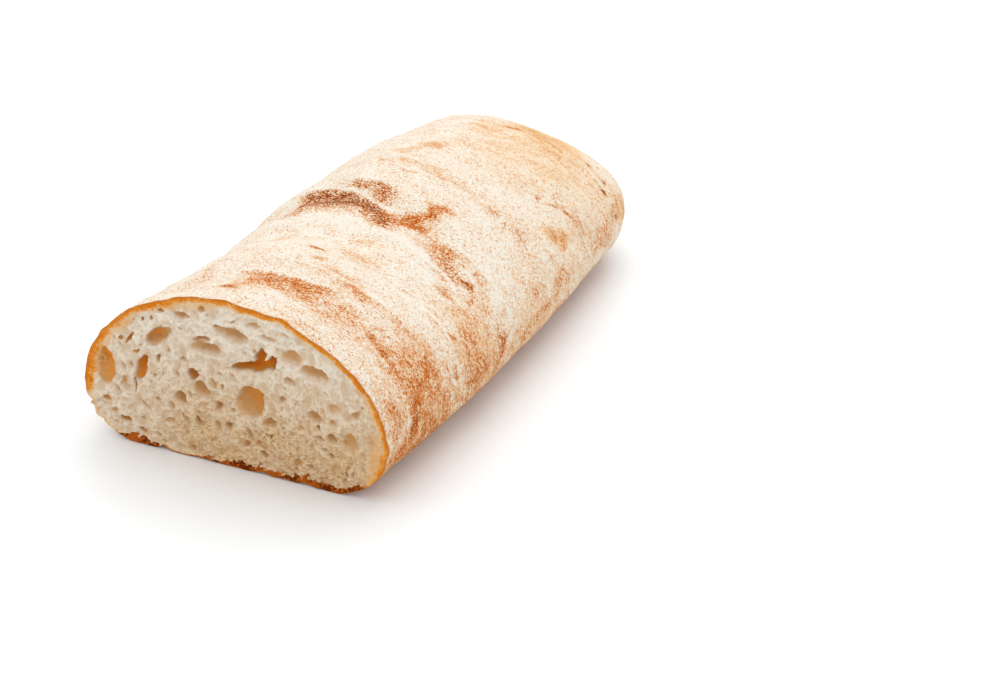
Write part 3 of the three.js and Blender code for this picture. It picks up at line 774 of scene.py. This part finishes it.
def rimLayers(x, z, degrees, inside, strength, thick, sway):
    # the crust seen edge on, the crumb toasted behind it and the dark crust underneath: each 1 at the edge
    # and fading inwards, with a second golden band beside the rim low on the right
    look = rimLook
    rim = strength * (1 - smooth(inside, 0, thick * look["depth"]))
    rim = rim * (1 + look["patchy"] * waves(x / 3, z / 3, x * 0, 34))
    reach = np.interp(degrees, rimBearing, toastReach) * (1 + look["toastUneven"] * sway)
    toast = 1 - smooth(inside, look["toastFrom"], reach)
    band = hump(inside, *look["band"]) * smooth(x, *look["bandFrom"]) * hump(z, *look["bandHeight"])
    toast, rim = np.maximum(toast, band), np.maximum(rim, look["bandRim"] * band)
    (right, start, end), (left, outer, inner) = look["scorchRight"], look["scorchLeft"]
    scorch = look["scorch"] + right * smooth(x, start, end) + left * (1 - smooth(x, outer, inner))
    for place, half, high in look["nodules"]:
        scorch = scorch + hump(x, high, place, half)
    patches = np.clip(roughened(x / 1.2, z / 0.9, x * 0, 3, 36), -1, 1)
    scorch = scorch * (1 + look["scorchNoise"] * patches)
    under = smooth(degrees, *look["underFrom"]) * (1 - smooth(degrees, *look["underTo"]))
    # measured from the floor, but on the right, where the crust turns up, from the edge
    over = np.where(x > look["turnsUp"], inside, z)
    near, far = (scorch * share for share in look["scorchFade"])
    return rim, toast, under * (1 - smooth(over, near, far))


def buildCrumb(finish):
    # the depth is a step behind the crust, plus waves minus threads, plus the deeper of cells and pits
    look = crumbLook
    x, z, degrees, inside = crumbGrid()
    # the outlines of the cells are uneven, so they are measured from a point moved by noise
    size = cellLook["wobbleSize"]
    movedX = x + cellLook["wobble"][0] * roughened(x / size, z / size, x * 0, 3, 60)
    movedZ = z + cellLook["wobble"][1] * roughened(x / size, z / size, x * 0, 3, 64)
    hollow, amberGlow, paintedShade, pale = cellLayers(x, z, movedX, movedZ)
    strength = np.interp(degrees, rimBearing, rimStrength)
    uneven = 1 + rimLook["uneven"] * roughened(x / 2.5, z / 2.5, x * 0, 3, 33)
    thick = np.interp(degrees, rimBearing, rimThickness) * uneven
    near, far = (length + share * thick * strength for length, share in (look["roomFrom"], look["roomTo"]))
    room = smooth(inside, near, far)
    small = 0
    for shift, spacing, seed, fill, depth in pitLook["sizes"]:
        small = np.maximum(small, pits(movedX + shift, movedZ, spacing, seed, fill) * depth)
    # the walls between the small bubbles stand up as threads of two sizes
    web = 0.5 * threads(movedX, movedZ, 1.3, 1, 95) + 0.5 * threads(movedX, movedZ, 0.8, 0.65, 97)
    sway = roughened(x / 9, z / 6, x * 0, 2, 99)
    clear = 1 - smooth(hollow, *look["pitsFade"]) * look["pitsLess"]
    wavy = (look["wavy"] * sway - look["threads"] * web) * smooth(inside, *look["wavyFade"])
    y = look["step"] * smooth(inside, *look["stepFade"]) + wavy
    least, more = look["shallow"]
    y = y + np.maximum(hollow * (least + more * room), small * clear * room * look["pitDepth"])
    y = np.maximum(y, look["front"])
    count = look["across"] * look["up"]
    index = np.arange(count).reshape(look["up"], look["across"])
    front = np.stack([index[:-1, :-1], index[:-1, 1:], index[1:, 1:], index[1:, :-1]], -1).reshape(-1, 4)
    ring = np.concatenate([index[0, :-1], index[:-1, -1], index[-1, :0:-1], index[:0:-1, 0]])
    points = np.stack([x, y, z], -1).reshape(-1, 3)
    points[ring, 1] = look["front"]
    centre = np.array([0, 0, look["middle"]])
    spokes = points[ring] - centre
    length = np.linalg.norm(spokes, axis=-1, keepdims=True)
    behind = [centre + spokes * (1 - narrower / length) + [0, deep, 0] for narrower, deep in look["plug"]]
    points = np.concatenate([points] + behind)
    n = len(ring)
    i, k = np.arange(n), (np.arange(n) + 1) % n
    first = np.stack([ring, count + i, count + k, ring[k]], -1)
    second = np.stack([count + i, count + n + i, count + n + k, count + k], -1)
    faces = np.concatenate([front, first, second, capFaces(count + n + i)[:, ::-1]])
    rim, toast, burnt = rimLayers(x, z, degrees, inside, strength, thick, sway)
    least, more = rimLook["lowShare"]
    low = (1 - smooth(z, *rimLook["lowHeight"])) * (least + more * smooth(x, *rimLook["lowFrom"]))
    # painted light: hollow and pit are painted shade, web also the lip highlight, amber a painted glow
    layers = {
        "rim": rim, "toast": toast, "burnt": burnt, "low": low, "hollow": paintedShade * room,
        "pit": small * clear * room * look["pitTone"], "web": web + look["paintedLipHighlight"] * pale,
        "amberGlow": amberGlow * room,
    }
    layers = {name: np.concatenate([values.ravel(), np.zeros(2 * n)]) for name, values in layers.items()}
    makePiece("crumb", placed(points[:, 0], points[:, 1], points[:, 2]), faces, layers, finish)


# surfaces

class Wire:
    # a socket of a material; arithmetic on it adds Math nodes
    def __init__(self, finish, socket):
        self.finish, self.socket = finish, socket

    def maths(self, operation, first, second):
        return self.finish.node("ShaderNodeMath", {"operation": operation}, [first, second])

    def __add__(self, other):
        return self.maths("ADD", self, other)

    def __radd__(self, other):
        return self.maths("ADD", other, self)

    def __sub__(self, other):
        return self.maths("SUBTRACT", self, other)

    def __rsub__(self, other):
        return self.maths("SUBTRACT", other, self)

    def __mul__(self, other):
        return self.maths("MULTIPLY", self, other)

    def __rmul__(self, other):
        return self.maths("MULTIPLY", other, self)

    def ramp(self, low, high):
        # 0 below low, 1 above high, smooth between
        ends = {"Value": self, "From Min": low, "From Max": high}
        return self.finish.node("ShaderNodeMapRange", {"interpolation_type": "SMOOTHSTEP"}, ends)


class Finish:
    # a material with one Principled BSDF, built up node by node
    def __init__(self, name):
        self.material = bpy.data.materials.new(name)
        self.material.use_nodes = True
        self.tree = self.material.node_tree
        self.shader = self.tree.nodes["Principled BSDF"]

    def node(self, kind, settings, inputs, output=0):
        made = self.tree.nodes.new(kind)
        for key, value in settings.items():
            setattr(made, key, value)
        for key, value in (inputs.items() if isinstance(inputs, dict) else enumerate(inputs)):
            self.plug(made.inputs[key], value)
        return Wire(self, made.outputs[output])

    def plug(self, socket, value):
        if isinstance(value, Wire):
            self.tree.links.new(value.socket, socket)
        else:
            socket.default_value = value

    def set(self, **values):
        for key, value in values.items():
            self.plug(self.shader.inputs[key.replace("_", " ")], value)

    def layer(self, name):
        return self.node("ShaderNodeAttribute", {"attribute_name": name}, {}, "Fac")

    def place(self):
        # metres from the middle of the footprint
        return self.node("ShaderNodeTexCoord", {}, {}, "Object")

    def noise(self, size, detail=2, rough=0.5, vector=None):
        # noise whose features are about size millimetres
        ends = {"Vector": vector or self.place(), "Scale": 1000 / size, "Detail": detail, "Roughness": rough}
        return self.node("ShaderNodeTexNoise", {}, ends)

    def mix(self, first, second, share):
        return self.node("ShaderNodeMix", {"data_type": "RGBA"}, {0: share, 6: first, 7: second}, 2)

    def steps(self, value, tones):
        # the tones one after the other, evenly spaced from 0 to 1
        made, count = tones[0], len(tones) - 1
        for k in range(count):
            ends = {"Value": value, "From Min": k / count, "From Max": (k + 1) / count}
            made = self.mix(made, tones[k + 1], self.node("ShaderNodeMapRange", {}, ends))
        return made

    def bump(self, height, distance):
        ends = {"Height": height, "Distance": distance * mm, "Strength": 1}
        return self.node("ShaderNodeBump", {}, ends)


lightLevel = 1.25  # a white surface would come out this bright under the lamp


def tone(r, g, b):
    # a colour as it shows under the lamp, 0 to 255, turned to linear light and divided by the light
    return tuple(((v / 255 + 0.055) / 1.055) ** 2.4 / lightLevel for v in (r, g, b)) + (1,)


# "low" and "lowWeb" take the place of "cream" and "web" low down; "rim" runs from pale to dark crust
crumbTones = {
    # pit and tan are painted shade in pits and hollows, tan also the dim end of the glow; amber is painted
    # glow
    "web": tone(255, 246, 231), "cream": tone(254, 235, 209), "pit": tone(208, 168, 120),
    "tan": tone(213, 159, 97), "amberGlow": tone(244, 152, 44), "low": tone(200, 146, 86),
    "lowWeb": tone(242, 212, 168), "burnt": tone(114, 46, 12), "nodule": tone(192, 100, 30),
    "rim": [tone(248, 196, 132), tone(246, 174, 92), tone(241, 155, 58), tone(230, 130, 34)],
}
# each list runs from bare crust to thick flour; then the sizes of the noises and how they are drawn out
# round the loaf
crustTones = {
    "plain": [tone(212, 98, 20), tone(231, 138, 66), tone(242, 181, 131), tone(250, 221, 189),
              tone(255, 250, 239)],
    "brown": [tone(120, 48, 12), tone(184, 90, 34), tone(224, 144, 84), tone(245, 202, 154),
              tone(255, 243, 225)],
    "gold": [tone(216, 146, 78), tone(239, 186, 124), tone(248, 208, 158), tone(254, 228, 190),
             tone(255, 243, 222)],
    "grain": 0.6, "fleck": 1.4, "clump": 3.4, "speckle": 0.65, "drawn": (0.75, 1.1, 0.75),
}


def crustFinish():
    # the cover is the flour plus specks of three sizes, which show less where the skin is golden or the
    # flour thick, minus a fine speckle; it picks the tone in each list, and brown and gold, with more gold
    # in the clumps and flecks, pick between the lists
    tones = crustTones
    f = Finish("floured crust")
    dust, brown, gold = f.layer("dust"), f.layer("brown"), f.layer("gold")
    drawn = f.node("ShaderNodeVectorMath", {"operation": "MULTIPLY"}, [f.place(), tones["drawn"]])
    grain, fleck, clump = (f.noise(tones[size], 2, 0.5, drawn) for size in ("grain", "fleck", "clump"))
    grains = (grain.ramp(0.36, 0.64) - 0.5) * (0.7 + brown * 0.7)
    specks = (fleck - 0.5) * 1.2 + grains + (clump - 0.5) * (0.6 + brown)
    speckle = f.noise(tones["speckle"], 1, 0.5, drawn).ramp(0.55, 0.68) * 0.4
    cover = dust + specks * (1 - gold * 0.4) * (1.1 - dust * 0.8) - speckle
    golden = gold + (clump + fleck - 0.92) * 0.9
    plain = f.mix(f.steps(cover, tones["plain"]), f.steps(cover, tones["gold"]), golden)
    skin = f.mix(plain, f.steps(cover, tones["brown"]), brown)
    edge = f.mix(crumbTones["rim"][2], crumbTones["rim"][3], fleck.ramp(0.35, 0.65))
    f.set(Base_Color=f.mix(skin, edge, f.layer("cut")), Roughness=0.95)
    f.set(Normal=f.bump(cover * 0.5 + fleck * 0.4, 0.5), Specular_IOR_Level=0.04)
    return f.material


def crumbFinish():
    # cream with pale threads and painted highlights on the cells' lower lips, darker low down, then one over
    # the
    # other: painted shade in pits and hollows, toasted crumb, the painted amber glow of the cells, the crust
    # seen edge on and the burnt crust; each share is a layer times noises of three sizes
    tones = crumbTones
    f = Finish("open crumb")
    hollow, amberGlow, rim, pit, web = (f.layer(name) for name in ("hollow", "amberGlow", "rim", "pit", "web"))
    toast, burnt, low = f.layer("toast"), f.layer("burnt"), f.layer("low")
    cloud, fleck, grain = f.noise(6, 3), f.noise(1.2, 3), f.noise(0.5, 2)
    toned = low * (cloud + 0.4)
    dark, bright = f.mix(tones["cream"], tones["low"], toned), f.mix(tones["web"], tones["lowWeb"], toned)
    woven = web * 0.8 + (fleck - 0.5) * 1.4 + (grain - 0.5) * 1.2 + (cloud - 0.5) * 0.6
    base = f.mix(dark, bright, woven.ramp(-0.6, 0.9))
    # painted shade: pits and hollows are darkened by their depth towards the pit and tan tones
    base = f.mix(base, tones["pit"], (pit * (fleck + 0.5)).ramp(0, 1.2) * 0.5)
    inside = f.mix(base, tones["tan"], (hollow * (fleck + 0.5)).ramp(0, 2.6) * 0.85)
    toasted = (toast * (cloud + fleck + pit * 0.3)).ramp(0.1, 1) * 0.85
    warm = f.mix(inside, tones["rim"][0], toasted)
    # painted glow: cells shine amber as if lit through the crumb
    glow = f.mix(tones["tan"], tones["amberGlow"], amberGlow.ramp(0.4, 0.9))
    lit = f.mix(warm, glow, (amberGlow * (fleck * 0.8 + 0.6)).ramp(0, 0.65))
    edge = rim * ((fleck - 0.5) * 2.4 + (grain - 0.5) * 1.6 + (cloud - 0.5) + 1.1)
    crust = f.mix(lit, f.steps(edge, tones["rim"]), edge.ramp(0.05, 0.6))
    spotted = (fleck + (grain - 0.5) * 0.6 + (cloud - 0.5) * 0.8).ramp(0.42, 0.6)
    charred = f.mix(tones["nodule"], tones["burnt"], spotted)
    f.set(Base_Color=f.mix(crust, charred, burnt.ramp(0.1, 0.8)), Roughness=0.95)
    f.set(Normal=f.bump(fleck * 0.6 + grain * 0.4, 0.35), Specular_IOR_Level=0.03)
    f.set(Subsurface_Weight=0.1, Subsurface_Scale=0.001, Subsurface_Radius=(1, 0.6, 0.35))
    return f.material


buildCrust(crustFinish())
buildCrumb(crumbFinish())
print("loaf dressed")


# floor, light and camera: the floor and the lamp in metres, the camera's place in millimetres; sky is how
# bright the white surroundings are

ground = {"half": 3, "height": -0.0002, "colour": (0.868, 0.893, 0.905, 1), "roughness": 0.4, "shine": 0.5}
lamp = {"place": (-0.07, 0.5, 1.32), "size": 1.25, "power": 6.8, "sky": 1.05}
view = {
    "azimuth": 23.249, "elevation": 27.282, "roll": 1.51, "place": (324.752, -660.418, 369.454),
    "lens": 80.045, "sensor": 36,
}

floorMesh = bpy.data.meshes.new("floor")
corners = [(-1, -1), (1, -1), (1, 1), (-1, 1)]
corners = [(x * ground["half"], y * ground["half"], ground["height"]) for x, y in corners]
floorMesh.from_pydata(corners, [], [(0, 1, 2, 3)])
floorFinish = Finish("pale floor")
floorFinish.set(Base_Color=ground["colour"], Roughness=ground["roughness"])
floorFinish.set(Specular_IOR_Level=ground["shine"])
floorMesh.materials.append(floorFinish.material)
floor = bpy.data.objects.new("floor", floorMesh)
bpy.context.scene.collection.objects.link(floor)

world = bpy.data.worlds.new("studio")
world.use_nodes = True
world.node_tree.nodes["Background"].inputs["Color"].default_value = (1, 1, 1, 1)
world.node_tree.nodes["Background"].inputs["Strength"].default_value = lamp["sky"]
bpy.context.scene.world = world
bpy.context.scene.view_settings.view_transform = "Standard"

key = bpy.data.lights.new("key", "AREA")
key.shape, key.size, key.energy = "SQUARE", lamp["size"], lamp["power"]
keyLamp = bpy.data.objects.new("key", key)
keyLamp.location = lamp["place"]
keyLamp.rotation_euler = (-Vector(lamp["place"])).to_track_quat("-Z", "Y").to_euler()
bpy.context.scene.collection.objects.link(keyLamp)

azimuth, elevation, roll = (np.radians(view[k]) for k in ("azimuth", "elevation", "roll"))
back = Vector((np.sin(azimuth) * np.cos(elevation), -np.cos(azimuth) * np.cos(elevation), np.sin(elevation)))
right = Vector((np.cos(azimuth), np.sin(azimuth), 0))
up = back.cross(right)
right, up = right * np.cos(roll) + up * np.sin(roll), up * np.cos(roll) - right * np.sin(roll)
lens = bpy.data.cameras.new("camera")
lens.lens, lens.sensor_width, lens.clip_start, lens.clip_end = view["lens"], view["sensor"], 0.01, 20
camera = bpy.data.objects.new("camera", lens)
turned = Matrix((right, up, back)).transposed().to_4x4()
camera.matrix_world = Matrix.Translation(Vector(view["place"]) * mm) @ turned
bpy.context.scene.collection.objects.link(camera)
bpy.context.scene.camera = camera
print("stage set")
